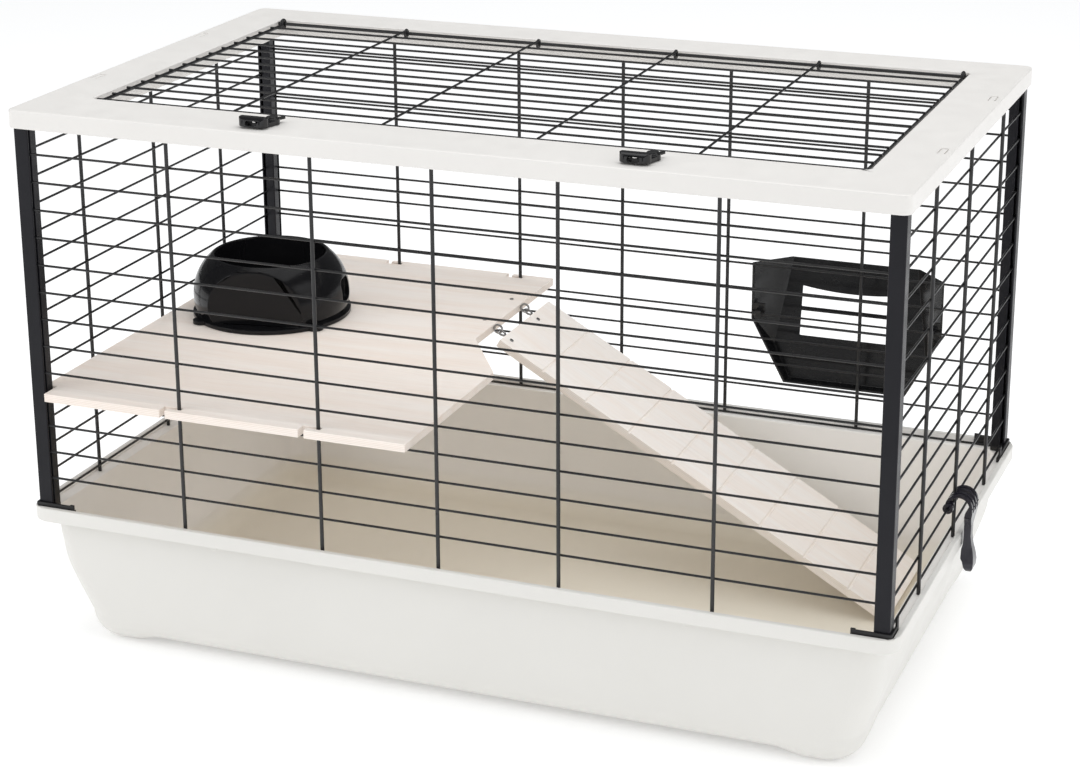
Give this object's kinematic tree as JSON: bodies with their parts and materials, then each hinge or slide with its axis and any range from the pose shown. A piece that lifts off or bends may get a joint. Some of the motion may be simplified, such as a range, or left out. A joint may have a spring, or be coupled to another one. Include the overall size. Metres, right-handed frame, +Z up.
{
  "type": "rabbit cage",
  "caption": "Small-animal cage with a moulded tub, wire panels on corner posts, a roof frame with a hinged wire door, a shelf with a ramp, a bowl and an outside hay rack.",
  "frame": {"origin": "centre of the tub's flat underside, on the floor", "axes": "+X along the cage's length to the clip end, -Y towards the front, +Z up"},
  "size_m": [0.8123, 0.5092, 0.5116],
  "materials": {
    "tub_plastic": "satin warm light grey",
    "frame_plastic": "satin off-white",
    "post_metal": "black powder coat",
    "black_plastic": "satin black",
    "black_wire": "black coated wire",
    "gloss_black": "glossy black",
    "birch": "bare pale wood",
    "steel": "bright steel",
    "bowl_plastic": "glossy black",
    "rack_plastic": "glossy black"
  },
  "bodies": {
    "tub": {"tub": "tub_plastic"},
    "cage": {"lid_frame": "frame_plastic", "post_fl": "post_metal", "post_fr": "post_metal", "post_bl": "post_metal", "post_br": "post_metal", "foot_fl": "black_plastic", "foot_fr": "black_plastic", "foot_bl": "black_plastic", "foot_br": "black_plastic", "front_panel": "black_wire", "back_panel": "black_wire", "left_panel": "black_wire", "right_panel": "black_wire", "door_rod": "black_wire", "shelf": "birch", "shelf_eyes": "steel", "shelf_pins": "steel"},
    "door": {"roof_door": "black_wire"},
    "latch_left": {"latch_left": "gloss_black"},
    "latch_right": {"latch_right": "gloss_black"},
    "clip": {"side_clip": "gloss_black"},
    "ramp": {"ramp": "birch", "ramp_eyes": "steel", "ramp_pins": "steel"},
    "bowl": {"bowl": "bowl_plastic"},
    "rack": {"hay_rack": "rack_plastic"}
  },
  "joints": [
    {"name": "cage_lift", "type": "slide", "parent": "tub", "child": "cage", "axis": [0, 0, 1], "range_m": [0, 0.2]},
    {"name": "door_hinge", "type": "hinge", "parent": "cage", "child": "door", "pos_m": [0, 0.183, 0.4994], "axis": [-1, 0, 0], "range_deg": [0, 110]},
    {"name": "latch_left_turn", "type": "hinge", "parent": "cage", "child": "latch_left", "pos_m": [-0.156, -0.2055, 0.504], "axis": [0, 0, -1], "range_deg": [0, 130]},
    {"name": "latch_right_turn", "type": "hinge", "parent": "cage", "child": "latch_right", "pos_m": [0.18, -0.2055, 0.504], "axis": [0, 0, -1], "range_deg": [0, 130]},
    {"name": "clip_turn", "type": "hinge", "parent": "cage", "child": "clip", "pos_m": [0.38955, 0, 0.162], "axis": [0, -1, 0], "range_deg": [0, 75]},
    {"name": "ramp_hinge", "type": "hinge", "parent": "cage", "child": "ramp", "pos_m": [-0.072, 0.1155, 0.24055], "axis": [0, -1, 0], "range_deg": [0, 18]},
    {"name": "bowl_lift", "type": "slide", "parent": "cage", "child": "bowl", "axis": [0, 0, 1], "range_m": [0, 0.1]},
    {"name": "rack_lift", "type": "slide", "parent": "cage", "child": "rack", "axis": [0, 0, 1], "range_m": [0, 0.015]}
  ]
}
